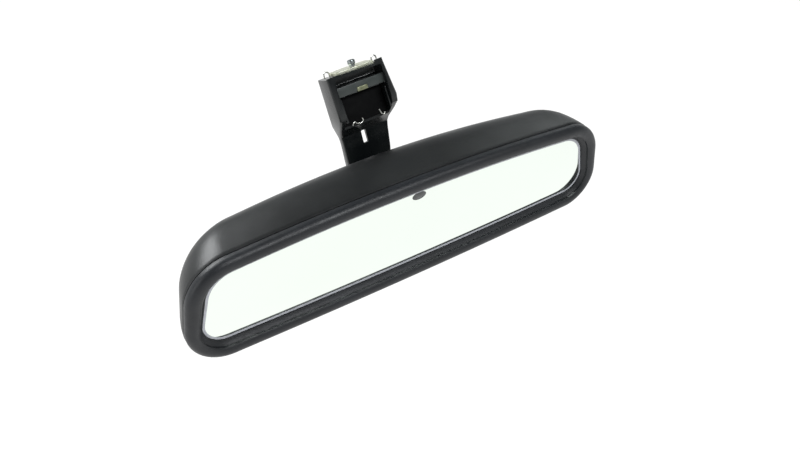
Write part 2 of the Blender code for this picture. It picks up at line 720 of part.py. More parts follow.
def main():
    make_bezel()
    make_rear_housing()
    make_glass()
    make_contact_strip("contact_strip_top", 1)
    make_contact_strip("contact_strip_bottom", -1)
    make_foam_pad()
    make_carrier()
    make_ball_joint()
    make_ball_stud()
    make_stud_nut()
    make_circuit_board()
    make_sensors()
    make_connector()
    make_board_parts()
    make_stalk()
    make_foot_plate()
    make_foot_fittings()
    make_bay_wires()


clear_scene()
PARTS = new_collection("rearview_mirror")
CUTTERS = new_collection("cutters")
HEAD_FRAME = bpy.data.objects.new("head_frame", None)
PARTS.objects.link(HEAD_FRAME)
HEAD_FRAME.location = -SEAT_FACE * MM

BLACK_SATIN = material("black_satin_plastic", (0.018, 0.019, 0.02), 0.45)
BLACK_SOFT = material("black_grained_plastic", (0.025, 0.026, 0.03), 0.38)
BLACK_PLAIN = material("black_inner_plastic", (0.03, 0.03, 0.03), 0.6)
BLACK_GLOSS = material("black_gloss_plastic", (0.01, 0.011, 0.012), 0.2)
MIRROR = material("mirror_glass", (0.85, 0.9, 0.86), 0.02, 1.0)
SEALANT = material("sealant", (0.05, 0.05, 0.05), 0.5)
TINNED = material("tinned_metal", (0.7, 0.7, 0.68), 0.3, 1.0)
FOAM = material("foam", (0.06, 0.06, 0.06), 0.95)
NYLON = material("nylon", (0.75, 0.74, 0.68), 0.5)
STEEL = material("steel", (0.55, 0.56, 0.57), 0.3, 1.0)
BOARD = material("board", (0.02, 0.12, 0.04), 0.5)
CHIP = material("chip", (0.02, 0.02, 0.02), 0.4)
SMOKED = material("smoked_lens", (0.05, 0.05, 0.055), 0.1)
ZINC = material("zinc", (0.7, 0.7, 0.62), 0.35, 1.0)

main()
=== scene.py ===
"""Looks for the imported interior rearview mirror: finer shapes for what shows, and materials.

Shapes are written in millimetres in the head's own frame: its origin is the middle of the mirror
glass, X runs along the mirror, Y away from the driver and Z up.
"""

import json
from math import atan2, cos, pi, radians, sin, tan

import bmesh
import bpy
from mathutils import Euler, Matrix, Vector


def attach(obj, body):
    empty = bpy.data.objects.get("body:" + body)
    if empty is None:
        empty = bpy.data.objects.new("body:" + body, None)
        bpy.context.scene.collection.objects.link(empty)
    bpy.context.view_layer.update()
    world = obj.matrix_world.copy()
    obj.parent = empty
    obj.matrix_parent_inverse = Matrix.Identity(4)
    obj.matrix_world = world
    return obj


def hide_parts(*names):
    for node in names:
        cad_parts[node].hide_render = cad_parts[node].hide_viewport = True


MM = 0.001
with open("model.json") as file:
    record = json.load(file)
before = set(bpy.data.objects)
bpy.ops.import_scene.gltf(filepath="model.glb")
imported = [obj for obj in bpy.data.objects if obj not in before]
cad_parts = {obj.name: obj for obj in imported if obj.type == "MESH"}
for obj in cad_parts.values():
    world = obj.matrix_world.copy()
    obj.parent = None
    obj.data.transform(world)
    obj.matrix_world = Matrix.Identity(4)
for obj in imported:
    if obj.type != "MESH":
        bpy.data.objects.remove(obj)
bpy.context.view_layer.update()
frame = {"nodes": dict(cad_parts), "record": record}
NODES = frame["nodes"]

HEAD_ROLL = -4.5  # degrees, of the stalk against the head at rest
FOOT_TILT = -25
FOOT_FRONT = (50.0, 65.2)
FOOT_DEPTH = 13.0
BAY_LEAN = -3
LIP_SLANT = -2.3
BALL_RADIUS = 8.0

# The ball's centre in the record is the one fixed point: it lies 26 mm behind the glass.
BALL_IN_ROW = Vector(frame["record"]["behaviour"]["joints"][0]["pos_m"]) / MM
BALL = Vector((0, 26.0, 0))
TO_ROW = Matrix.Translation(BALL_IN_ROW - BALL)
ROLL = Euler((0, radians(HEAD_ROLL), 0)).to_matrix().to_4x4()
ROLLED = Matrix.Translation(BALL) @ ROLL @ Matrix.Translation(-BALL)
FOOT = (
    ROLLED
    @ Matrix.Translation((0, *FOOT_FRONT))
    @ Euler((radians(FOOT_TILT), 0, 0)).to_matrix().to_4x4()
)
BAY = FOOT @ Euler((radians(BAY_LEAN), 0, 0)).to_matrix().to_4x4()


# ---------------------------------------------------------------- camera, light and floor


def make_camera():
    lens, look_down, heading, tilt = 30.68, 40.59, -33.75, 1.43
    place = Vector((-147.43, -268.65, 159.96)) * MM
    camera = bpy.data.objects.new("camera", bpy.data.cameras.new("camera"))
    bpy.context.scene.collection.objects.link(camera)
    camera.data.lens = lens
    camera.data.sensor_width = 36
    camera.data.clip_start = 0.01
    turn = Euler((radians(90 - look_down), 0, radians(heading))).to_matrix().to_4x4()
    roll = Matrix.Rotation(radians(tilt), 4, "Z")
    camera.matrix_world = Matrix.Translation(place) @ turn @ roll
    bpy.context.scene.camera = camera


def area_light(name, place, target, size, power, colour=(1, 1, 1)):
    light = bpy.data.lights.new(name, "AREA")
    light.shape = "RECTANGLE"
    light.size, light.size_y = size
    light.energy = power
    light.color = colour
    lamp = bpy.data.objects.new(name, light)
    bpy.context.scene.collection.objects.link(lamp)
    lamp.location = place
    lamp.rotation_euler = (Vector(target) - Vector(place)).to_track_quat("-Z", "Y").to_euler()


def make_studio():
    """A pale ground glow fading to dark above, four area lights and a white floor."""
    scene = bpy.context.scene
    scene.view_settings.view_transform = "Standard"
    world = bpy.data.worlds.new("studio")
    world.use_nodes = True
    scene.world = world
    nodes, links = world.node_tree.nodes, world.node_tree.links
    background = nodes["Background"]
    where = nodes.new("ShaderNodeTexCoord")
    split = nodes.new("ShaderNodeSeparateXYZ")
    links.new(where.outputs["Generated"], split.inputs[0])
    ramp = nodes.new("ShaderNodeValToRGB")
    low, high = ramp.color_ramp.elements
    low.position, low.color = 0.06, (0.82, 0.84, 0.85, 1)
    high.position, high.color = 0.42, (0.07, 0.08, 0.08, 1)
    links.new(split.outputs["Z"], ramp.inputs[0])
    links.new(ramp.outputs[0], background.inputs["Color"])
    background.inputs["Strength"].default_value = 1.0
    middle = (0.0, -0.05, -0.06)
    area_light("behind_left", (-0.46, 0.7, 0.74), middle, (0.65, 0.45), 14.5, (0.97, 0.99, 1))
    area_light("behind_right", (0.95, 0.45, 0.62), middle, (0.4, 0.4), 1.2, (0.95, 1, 1))
    area_light("left", (-1.0, -0.1, 0.3), middle, (0.3, 0.6), 1.7)
    area_light("crown", (0.2, -0.78, 0.91), middle, (0.7, 0.32), 8.5, (0.96, 0.98, 1))
    bpy.ops.mesh.primitive_plane_add(size=12, location=(0, 0, -0.42))
    floor = bpy.context.object
    floor.name = "floor"
    look = bpy.data.materials.new("floor_white")
    look.use_nodes = True
    shader = look.node_tree.nodes["Principled BSDF"]
    shader.inputs["Base Color"].default_value = (0.12, 0.12, 0.12, 1)
    shader.inputs["Roughness"].default_value = 0.95
    shader.inputs["Emission Color"].default_value = (1, 1, 0.995, 1)
    shader.inputs["Emission Strength"].default_value = 0.95
    floor.data.materials.append(look)


# ---------------------------------------------------------------- materials


class Look:
    """A Principled material with helpers for grain, colour variation and wear."""

    def __init__(self, name, colour, roughness, metallic=0.0):
        self.material = bpy.data.materials.new(name)
        self.material.use_nodes = True
        self.nodes = self.material.node_tree.nodes
        self.links = self.material.node_tree.links
        self.shader = self.nodes["Principled BSDF"]
        self.shader.inputs["Base Color"].default_value = (*colour, 1)
        self.shader.inputs["Roughness"].default_value = roughness
        self.shader.inputs["Metallic"].default_value = metallic
        self.colour, self.roughness = colour, roughness
        self.height = None
        self.where = self.nodes.new("ShaderNodeTexCoord").outputs["Object"]

    def set(self, **values):
        for key, value in values.items():
            self.shader.inputs[key.replace("_", " ")].default_value = value
        return self

    def stretched(self, scale):
        mapping = self.nodes.new("ShaderNodeMapping")
        mapping.inputs["Scale"].default_value = scale
        self.links.new(self.where, mapping.inputs["Vector"])
        return mapping.outputs[0]

    def noise(self, per_m, detail=3.0, stretch=(1, 1, 1), rough=0.5):
        node = self.nodes.new("ShaderNodeTexNoise")
        node.inputs["Scale"].default_value = per_m
        node.inputs["Detail"].default_value = detail
        node.inputs["Roughness"].default_value = rough
        self.links.new(self.stretched(stretch), node.inputs["Vector"])
        return node.outputs["Fac"]

    def cells(self, per_m, stretch=(1, 1, 1)):
        node = self.nodes.new("ShaderNodeTexVoronoi")
        node.feature = "SMOOTH_F1"
        node.inputs["Scale"].default_value = per_m
        node.inputs["Smoothness"].default_value = 0.6
        self.links.new(self.stretched(stretch), node.inputs["Vector"])
        return node.outputs["Distance"]

    def spread(self, source, low, high, start=0.3, end=0.7):
        node = self.nodes.new("ShaderNodeMapRange")
        node.inputs["From Min"].default_value = start
        node.inputs["From Max"].default_value = end
        node.inputs["To Min"].default_value = low
        node.inputs["To Max"].default_value = high
        self.links.new(source, node.inputs["Value"])
        return node.outputs["Result"]

    def vary_roughness(self, source, amount, start=0.3, end=0.7):
        low, high = self.roughness - amount, self.roughness + amount
        self.links.new(self.spread(source, low, high, start, end), self.shader.inputs["Roughness"])
        return self

    def vary_colour(self, source, other, start=0.35, end=0.65):
        mix = self.nodes.new("ShaderNodeMix")
        mix.data_type = "RGBA"
        mix.inputs["A"].default_value = (*self.colour, 1)
        mix.inputs["B"].default_value = (*other, 1)
        self.links.new(self.spread(source, 0, 1, start, end), mix.inputs["Factor"])
        self.base = mix.outputs["Result"]
        self.links.new(self.base, self.shader.inputs["Base Color"])
        return self

    def worn_edges(self, colour, amount=0.5):
        """Lighter, polished high edges, broken up by noise."""
        shape = self.nodes.new("ShaderNodeNewGeometry")
        edge = self.spread(shape.outputs["Pointiness"], 0, 1, 0.52, 0.62)
        broken = self.spread(self.noise(900, 4), 0, amount, 0.42, 0.62)
        times = self.nodes.new("ShaderNodeMath")
        times.operation = "MULTIPLY"
        self.links.new(edge, times.inputs[0])
        self.links.new(broken, times.inputs[1])
        mix = self.nodes.new("ShaderNodeMix")
        mix.data_type = "RGBA"
        self.links.new(times.outputs[0], mix.inputs["Factor"])
        self.links.new(self.base, mix.inputs["A"])
        mix.inputs["B"].default_value = (*colour, 1)
        self.links.new(mix.outputs["Result"], self.shader.inputs["Base Color"])
        return self

    def bump(self, source, strength, height_mm):
        node = self.nodes.new("ShaderNodeBump")
        node.inputs["Strength"].default_value = strength
        node.inputs["Distance"].default_value = height_mm * MM
        self.links.new(source, node.inputs["Height"])
        if self.height:
            self.links.new(self.height, node.inputs["Normal"])
        self.height = node.outputs["Normal"]
        self.links.new(self.height, self.shader.inputs["Normal"])
        return self


def make_looks():
    looks = {}
    look = Look("housing_plastic", (0.0075, 0.0082, 0.0085), 0.42)
    look.vary_colour(look.noise(26, 3), (0.012, 0.0132, 0.0135))
    look.worn_edges((0.045, 0.047, 0.05), 0.3)
    look.vary_roughness(look.noise(60, 4), 0.05)
    look.bump(look.noise(1900, 4, rough=0.65), 0.45, 0.07)
    looks["satin_black"] = look

    look = Look("bezel_plastic", (0.0055, 0.0066, 0.0088), 0.46)
    look.vary_colour(look.noise(45, 3), (0.0095, 0.0112, 0.0145))
    look.vary_roughness(look.noise(240, 4), 0.05)
    look.bump(look.noise(650, 3, rough=0.6), 0.5, 0.13)
    looks["grained_black"] = look

    look = Look("stalk_plastic", (0.0042, 0.0054, 0.006), 0.24)
    look.vary_colour(look.noise(70, 3), (0.0085, 0.0105, 0.0105))
    look.vary_roughness(look.noise(160, 4), 0.08)
    look.bump(look.noise(1900, 3), 0.2, 0.03)
    looks["gloss_black"] = look

    # inner_black: near-black with weak specular, painted shade for the deep inside of the bay
    look = Look("painted_shade_plastic", (0.0012, 0.0014, 0.0016), 0.66).set(Specular_IOR_Level=0.1)
    look.vary_colour(look.noise(90, 3), (0.0024, 0.0026, 0.0028))
    look.vary_roughness(look.noise(200, 3), 0.08)
    look.bump(look.noise(1500, 3), 0.3, 0.04)
    looks["inner_black"] = look

    look = Look("front_glass", (0.955, 0.992, 0.955), 0.015)
    look.set(IOR=1.5, Transmission_Weight=1.0)
    look.vary_roughness(look.noise(55, 5, (1, 1, 2.5)), 0.014)
    look.bump(look.noise(420, 5, (0.12, 1, 3.0)), 0.015, 0.01)
    looks["front_glass"] = look

    look = Look("mirror_silver", (0.9, 0.955, 0.9), 0.018, 1.0)
    look.vary_colour(look.noise(9, 2), (0.885, 0.942, 0.88))
    look.vary_roughness(look.noise(130, 4), 0.012)
    looks["mirror"] = look

    look = Look("frosted_edge", (0.4, 0.41, 0.44), 0.45)
    look.vary_colour(look.noise(350, 4), (0.5, 0.51, 0.55))
    look.vary_roughness(look.noise(900, 3), 0.1)
    look.bump(look.noise(2600, 3), 0.3, 0.03)
    looks["frosted"] = look

    look = Look("sealant", (0.3, 0.3, 0.33), 0.4)
    look.vary_colour(look.noise(300, 3), (0.42, 0.42, 0.46))
    look.bump(look.noise(700, 2), 0.3, 0.05)
    looks["sealant"] = look

    look = Look("foam", (0.05, 0.05, 0.052), 0.95)
    look.vary_colour(look.noise(800, 4), (0.09, 0.09, 0.092))
    look.bump(look.cells(1500), 0.9, 0.2)
    looks["foam"] = look

    look = Look("nylon", (0.72, 0.71, 0.65), 0.42).set(Subsurface_Weight=0.1)
    look.vary_colour(look.noise(120, 3), (0.62, 0.6, 0.52))
    look.vary_roughness(look.noise(300, 3), 0.07)
    look.bump(look.noise(900, 2), 0.2, 0.04)
    looks["nylon"] = look

    look = Look("plated_steel", (0.4, 0.43, 0.44), 0.28, 1.0)
    look.vary_colour(look.noise(420, 4), (0.19, 0.21, 0.21))
    look.vary_roughness(look.noise(500, 4, (1, 6, 1)), 0.1)
    look.bump(look.noise(1600, 3, (1, 8, 1)), 0.25, 0.02)
    looks["steel"] = look

    look = Look("tinned_wire", (0.74, 0.74, 0.7), 0.26, 1.0)
    look.vary_colour(look.noise(700, 3), (0.55, 0.55, 0.5))
    look.vary_roughness(look.noise(1200, 3), 0.08)
    look.bump(look.noise(2600, 2), 0.2, 0.02)
    looks["wire"] = look

    look = Look("cast_zinc", (0.74, 0.75, 0.64), 0.36, 1.0)
    look.vary_colour(look.noise(420, 4), (0.5, 0.52, 0.38))
    look.vary_roughness(look.noise(700, 4), 0.12)
    look.bump(look.noise(1500, 4), 0.4, 0.05)
    looks["zinc"] = look

    look = Look("aged_brass", (0.16, 0.17, 0.1), 0.42, 0.9)
    look.vary_colour(look.noise(500, 4), (0.3, 0.31, 0.2))
    look.vary_roughness(look.noise(800, 3), 0.1)
    look.bump(look.noise(1500, 3), 0.3, 0.03)
    looks["brass"] = look

    look = Look("solder_mask", (0.012, 0.09, 0.03), 0.32)
    look.vary_colour(look.noise(1100, 2, (1, 1, 4)), (0.02, 0.14, 0.045), 0.48, 0.52)
    look.bump(look.noise(1100, 2, (1, 1, 4)), 0.3, 0.03)
    looks["board"] = look

    look = Look("chip_package", (0.016, 0.016, 0.017), 0.4)
    look.vary_colour(look.noise(900, 3), (0.03, 0.03, 0.03))
    look.bump(look.noise(3000, 3), 0.3, 0.02)
    looks["chip"] = look

    # lighter grey-green copy of the stalk's gloss black: painted highlight on the latch bar
    look = Look("latch_painted_highlight", (0.036, 0.044, 0.042), 0.34)
    look.vary_colour(look.noise(120, 4), (0.055, 0.064, 0.06))
    look.vary_roughness(look.noise(300, 3), 0.06)
    look.bump(look.noise(1900, 3), 0.2, 0.03)
    looks["latch"] = look

    look = Look("smoked_lens", (0.055, 0.06, 0.058), 0.12).set(Coat_Weight=0.15)
    look.vary_colour(look.noise(300, 2), (0.088, 0.093, 0.091))
    look.vary_roughness(look.noise(600, 2), 0.04)
    looks["smoked"] = look
    return {name: item.material for name, item in looks.items()}


# ---------------------------------------------------------------- mesh helpers


def rings_to_bmesh(rings, wrap=False, caps=True):
    bm = bmesh.new()
    rows = [[bm.verts.new(point) for point in ring] for ring in rings]
    count = len(rings[0])
    for i in range(len(rows) if wrap else len(rows) - 1):
        near, far = rows[i], rows[(i + 1) % len(rows)]
        for j in range(count):
            k = (j + 1) % count
            bm.faces.new((near[j], near[k], far[k], far[j]))
    if caps and not wrap:
        bm.faces.new(rows[0])
        bm.faces.new(rows[-1])
    return bm


def to_object(name, bm, place=Matrix()):
    """An object in the row frame from a bmesh in millimetres, set in the head's frame by place."""
    scale = Matrix.Diagonal((MM, MM, MM, 1))
    bmesh.ops.transform(bm, matrix=scale @ TO_ROW @ place, verts=bm.verts)
    bmesh.ops.recalc_face_normals(bm, faces=bm.faces)
    mesh = bpy.data.meshes.new(name)
    bm.to_mesh(mesh)
    bm.free()
    obj = bpy.data.objects.new(name, mesh)
    bpy.context.scene.collection.objects.link(obj)
    return obj


def cut(obj, bm, place=Matrix()):
    tool = to_object("cutter", bm, place)
    modifier = obj.modifiers.new("cut", "BOOLEAN")
    modifier.operation = "DIFFERENCE"
    modifier.object = tool
    bake(obj)
    bpy.data.objects.remove(tool)


def bake(obj):
    """Replaces the object's mesh by what its modifiers make of it."""
    graph = bpy.context.evaluated_depsgraph_get()
    mesh = bpy.data.meshes.new_from_object(obj.evaluated_get(graph))
    obj.modifiers.clear()
    obj.data = mesh


def round_edges(obj, width, segments=3, angle=32):
    modifier = obj.modifiers.new("bevel", "BEVEL")
    modifier.width = width * MM
    modifier.segments = segments
    modifier.limit_method = "ANGLE"
    modifier.angle_limit = radians(angle)
    modifier.harden_normals = True


def done(obj, body, slot, *nodes, look=None, smooth=34):
    """Finishes a piece: shading, material, the CAD body it rides and the nodes it stands for."""
    obj.data.materials.clear()
    obj.data.materials.append(LOOKS[look or slot])
    obj.data.shade_smooth()
    obj.data.set_sharp_from_angle(angle=radians(smooth))
    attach(obj, body)
    if nodes:
        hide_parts(*nodes)


def rounded_box(low, high, radius, segments=3):
    bm = bmesh.new()
    bmesh.ops.create_cube(bm, size=1)
    low, high = Vector(low), Vector(high)
    bmesh.ops.scale(bm, vec=high - low, verts=bm.verts)
    bmesh.ops.translate(bm, vec=(low + high) / 2, verts=bm.verts)
    if radius:
        bmesh.ops.bevel(
            bm, geom=bm.edges, offset=radius, segments=segments, affect="EDGES", profile=0.5
        )
    return bm


def turned(profile, steps=48):
    """Turned about Y from (radius, y) points; closed on the axis or, off it, into a ring."""
    rings = []
    for radius, y in profile:
        turn = [2 * pi * i / steps for i in range(steps)]
        rings.append([(radius * cos(a), y, radius * sin(a)) for a in turn])
    on_axis = profile[0][0] == 0
    bm = rings_to_bmesh(rings, wrap=not on_axis)
    if on_axis:
        bmesh.ops.remove_doubles(bm, verts=bm.verts, dist=1e-4)
    return bm


def tube(points, radius, sides=14):
    points = smooth_path([Vector(p) for p in points], 5)
    rings, side = [], None
    for i, point in enumerate(points):
        before, after = points[max(i - 1, 0)], points[min(i + 1, len(points) - 1)]
        along = (after - before).normalized()
        if side is None:
            side = along.orthogonal().normalized()
        side = (side - along * side.dot(along)).normalized()
        up = along.cross(side)
        turn = [2 * pi * k / sides for k in range(sides)]
        rings.append([point + (side * cos(a) + up * sin(a)) * radius for a in turn])
    return rings_to_bmesh(rings)


def smooth_path(rows, steps):
    """Catmull-Rom curve through rows of numbers, given as vectors of any length."""
    found = []
    for i in range(len(rows) - 1):
        a, b = rows[max(i - 1, 0)], rows[i]
        c, d = rows[i + 1], rows[min(i + 2, len(rows) - 1)]
        for k in range(steps):
            t = k / steps
            value = b * 2 + (c - a) * t + (a * 2 - b * 5 + c * 4 - d) * (t * t)
            found.append((value + (b * 3 - a - c * 3 + d) * (t * t * t)) * 0.5)
    found.append(rows[-1].copy())
    return found


# ---------------------------------------------------------------- the head's outline

# The glass opening, which is wider at the bottom by LEAN at each end, and the frame around it.
HALF_WIDTH, LEAN, HALF_HEIGHT = 112.8, 5.0, 22.6
TOP_ARCH, BOTTOM_ARCH = 5.4, 1.9
TOP_RADIUS, BOTTOM_RADIUS = 15.9, 11.3
BEZEL_WIDTH = 8.8
CROWN_RISE = 3.7


def fillet(corner, along_in, along_out, radius, steps):
    half = along_in.angle(along_out) / 2
    centre = corner + (along_in + along_out).normalized() * radius / sin(half)
    first = corner + along_in * radius / tan(half) - centre
    last = corner + along_out * radius / tan(half) - centre
    start = atan2(first.y, first.x)
    sweep = (atan2(last.y, last.x) - start + pi) % (2 * pi) - pi
    turns = [start + sweep * i / steps for i in range(steps + 1)]
    return [centre + Vector((cos(a), sin(a))) * radius for a in turns]


def head_outline(grow, softer=0.0, edge_steps=48, corner_steps=14):
    """Outline in X and Z, grow outside the glass opening, with corner radii softer larger."""
    top_half = HALF_WIDTH - LEAN + grow
    bottom_half = HALF_WIDTH + LEAN + grow
    reach = HALF_WIDTH**2

    def top(x):
        return HALF_HEIGHT + grow - TOP_ARCH * x * x / reach

    def bottom(x):
        return -HALF_HEIGHT - grow + BOTTOM_ARCH * x * x / reach

    upper = Vector((top_half, top(top_half)))
    lower = Vector((bottom_half, bottom(bottom_half)))
    down = (lower - upper).normalized()
    top_in = Vector((-1, 2 * TOP_ARCH * top_half / reach)).normalized()
    bottom_in = Vector((-1, -2 * BOTTOM_ARCH * bottom_half / reach)).normalized()
    largest = 0.46 * (upper.y - lower.y)
    top_radius = min(max(TOP_RADIUS + grow, 4) + softer, largest)
    bottom_radius = min(max(BOTTOM_RADIUS + grow, 4) + softer, largest)
    right = fillet(upper, top_in, down, top_radius, corner_steps)
    right += fillet(lower, -down, bottom_in, bottom_radius, corner_steps)
    left = [Vector((-p.x, p.y)) for p in reversed(right)]
    points = []
    for i in range(1, edge_steps):
        x = right[0].x * (2 * i / edge_steps - 1)
        points.append(Vector((x, top(x))))
    points += right
    for i in range(1, edge_steps):
        x = right[-1].x * (1 - 2 * i / edge_steps)
        points.append(Vector((x, bottom(x))))
    return points + left


def outline_ring(grow, y):
    return [(p.x, y, p.y) for p in head_outline(grow)]


def outline_loop(section):
    return rings_to_bmesh([outline_ring(grow, y) for grow, y in section], wrap=True)


# ---------------------------------------------------------------- the head

# Growth outside the opening, depth in the middle, extra corner radius, shortening of each end.
HOUSING_SECTIONS = (
    (BEZEL_WIDTH + 0.1, 0.9, 0.0, 0.0),
    (BEZEL_WIDTH + 0.6, 6.0, 0.0, 1.0),
    (BEZEL_WIDTH + 1.0, 12.0, 0.2, 2.6),
    (BEZEL_WIDTH + 1.0, 18.0, 0.5, 4.6),
    (BEZEL_WIDTH - 0.1, 24.0, 1.2, 7.8),
    (BEZEL_WIDTH - 3.2, 29.5, 2.8, 13.2),
    (BEZEL_WIDTH - 8.2, 33.8, 4.8, 22.0),
    (BEZEL_WIDTH - 14.7, 36.4, 6.2, 34.0),
    (BEZEL_WIDTH - 23.0, 37.5, 6.0, 48.0),
)
END_SHALLOWNESS = 0.16
SEAM_Y = 0.9
WALL = 2.0


def housing_y(x, depth):
    return SEAM_Y + (depth - SEAM_Y) * (1 - END_SHALLOWNESS * (x / HALF_WIDTH) ** 2)


def make_housing():
    """Skinned shell with openings for the neck, the connector and the rear light sensor."""
    corner_points = 15
    rows = smooth_path([Vector(row) for row in HOUSING_SECTIONS], 4)
    rings = []
    # the front edge rolls in to the seam
    for grow, y in ((BEZEL_WIDTH - 1.6, 1.5), (BEZEL_WIDTH - 0.9, 0.95)):
        rings.append(outline_ring(grow, y))
    for i, (grow, depth, softer, shorter) in enumerate(rows):
        if i == 0:
            grow, depth = grow - 0.35, SEAM_Y
        squeeze = 1 - shorter / (HALF_WIDTH + BEZEL_WIDTH)
        points = head_outline(grow, max(softer, 0))
        rings.append([(p.x * squeeze, housing_y(p.x * squeeze, depth), p.y) for p in points])
    bm = rings_to_bmesh(rings, caps=False)
    bm.verts.ensure_lookup_table()
    count = len(rings[0])
    row = bm.verts[-count:]
    # the back is closed in strips between the top edge and the bottom edge
    row = row[-corner_points:] + row[:-corner_points]
    for i in range(count // 2 - 1):
        bm.faces.new((row[i], row[i + 1], row[-2 - i], row[-1 - i]))
    housing = to_object("housing_shell", bm)
    shell = housing.modifiers.new("wall", "SOLIDIFY")
    shell.thickness = WALL * MM
    shell.offset = -1
    bake(housing)
    # the neck's way out is dished, with a rounded lip
    dish = [(0, 29), (9.3, 29), (9.9, 33), (10.5, 35.2), (11.3, 36.5), (12.5, 37.35)]
    dish += [(14, 38), (0, 38)]
    cut(housing, turned(dish, 64))
    cut(housing, rounded_box((29.7, 22, -4.8), (46.3, 50, 4.8), 1.0))
    lens_hole = turned([(0, 20), (3.3, 20), (3.3, 50), (0, 50)], 40)
    cut(housing, lens_hole, Matrix.Translation((-28, 0, 9)))
    done(housing, "head", "satin_black", "rear_housing", smooth=28)


def make_bezel():
    """Lip with a fine step over the glass, a flank, a round crown and a shoulder at the seam."""
    section = [(0.0, -0.3), (0.0, -0.5), (0.12, -0.62), (0.5, -0.66), (0.66, -0.55)]
    section += [(0.78, -0.66), (1.0, -0.8), (1.7, -1.5), (2.4, -2.2)]
    middle, steps, crown_sweep = BEZEL_WIDTH - CROWN_RISE, 24, 138
    for i in range(steps + 1):
        a = radians(crown_sweep) * (1 - i / steps)
        section.append((middle + CROWN_RISE * cos(a), -1.0 - CROWN_RISE * sin(a)))
    section += [
        (BEZEL_WIDTH, -0.2),
        (BEZEL_WIDTH - 0.08, 0.25),
        (BEZEL_WIDTH - 0.45, 0.5),
        (BEZEL_WIDTH - 1.7, 0.6),
        (5.6, 0.6),
        (5.6, 4.5),
        (4.4, 4.5),
        (4.4, -0.3),
    ]
    bezel = to_object("bezel_frame", outline_loop(section))
    done(bezel, "head", "grained_black", "bezel", smooth=40)


SENSOR_Z = 19.2
SENSOR_HALF = (4.0, 2.3)


def oval_ring(half_width, half_height, y, steps=48):
    turn = [2 * pi * i / steps for i in range(steps)]
    return [(half_width * cos(a), y, SENSOR_Z + half_height * sin(a)) for a in turn]


def oval_rod(half_width, half_height, front, back):
    return rings_to_bmesh([oval_ring(half_width, half_height, y) for y in (front, back)])


def make_glass():
    """The mirrored pane, with an oval hole for the sensor window, and its bright ground edge."""
    section = [(-0.85, 0.0), (-0.5, 0.04), (0.0, 0.3), (1.3, 0.36), (1.6, 0.5)]
    section += [(1.6, 1.5), (1.4, 1.6)]
    rings = [outline_ring(grow, y) for grow, y in section]
    pane = to_object("glass_pane", rings_to_bmesh(rings))
    cut(pane, oval_rod(*SENSOR_HALF, -1, 3))
    done(pane, "head", "mirror", "front_glass", smooth=8)
    rim = [(-1.45, -0.02), (-0.7, -0.07), (-0.08, -0.03), (-0.08, 0.03), (-1.4, 0.0)]
    ground_edge = to_object("ground_edge", outline_loop(rim))
    done(ground_edge, "head", "front_glass", look="frosted", smooth=60)
    rings = []
    for share, y in ((0.97, 1.4), (0.97, 0.35), (0.97, 0.14), (0.93, 0.08)):
        rings.append(oval_ring(SENSOR_HALF[0] * share, SENSOR_HALF[1] * share, y))
    done(to_object("sensor_window", rings_to_bmesh(rings)), "head", "smoked")


# ---------------------------------------------------------------- stalk

ARM = 43.4  # Y of the leg's front face, where the stud's collar seats
WEB_PLACE, WEB_SLOPE = (48.4, 27.0), 23
SMOOTH_SECTIONS = 8

# Up the stalk: front edge in Y and Z, shift right, width, depth, slope, corner radius.
STALK_SECTIONS = (
    (ARM + 0.8, -9.5, 0.0, 13.0, 4.4, 0, 1.9),
    (ARM, -6.0, 0.2, 18.7, 6.2, 0, 2.2),
    (ARM, 0.0, 0.5, 22.7, 6.6, 0, 2.2),
    (ARM + 0.4, 7.5, 0.45, 24.7, 6.6, 3, 2.0),
    (ARM + 1.2, 15.0, 0.6, 26.3, 6.2, 8, 1.8),
    (46.2, 21.0, 0.85, 26.8, 5.6, 15, 1.5),
    (48.4, 27.0, 1.3, 27.4, 5.2, 20, 1.3),
    (49.4, 30.5, 1.4, 28.2, 5.2, 23, 1.2),
    (48.4, 33.5, 1.2, 29.3, 6.6, 24, 1.2),
    (43.6, 41.0, 0.65, 32.1, 11.4, 25, 1.2),
    (41.2, 46.0, 0.75, 33.7, 13.8, 25, 1.2),
    (41.8, 50.0, 0.6, 33.9, 14.2, 25, 1.2),
    (*FOOT_FRONT, -0.3, 31.7, FOOT_DEPTH, 25, 1.2),
    (FOOT_FRONT[0] + 1.1, FOOT_FRONT[1] + 2.36, -0.35, 31.4, FOOT_DEPTH, 25, 1.2),
)


def rounded_section(front, shift, width, depth, slope, radius, steps=5):
    back = Vector((0, cos(slope), -sin(slope)))
    centre = Vector((shift, *front)) + back * depth / 2
    ring = []
    for quarter, (sx, sy) in enumerate(((1, 1), (-1, 1), (-1, -1), (1, -1))):
        cx, cy = sx * (width / 2 - radius), sy * (depth / 2 - radius)
        for i in range(steps + 1):
            a = pi / 2 * (quarter + i / steps)
            across, along = cx + radius * cos(a), cy + radius * sin(a)
            ring.append(centre + Vector((across, 0, 0)) + back * along)
    return ring


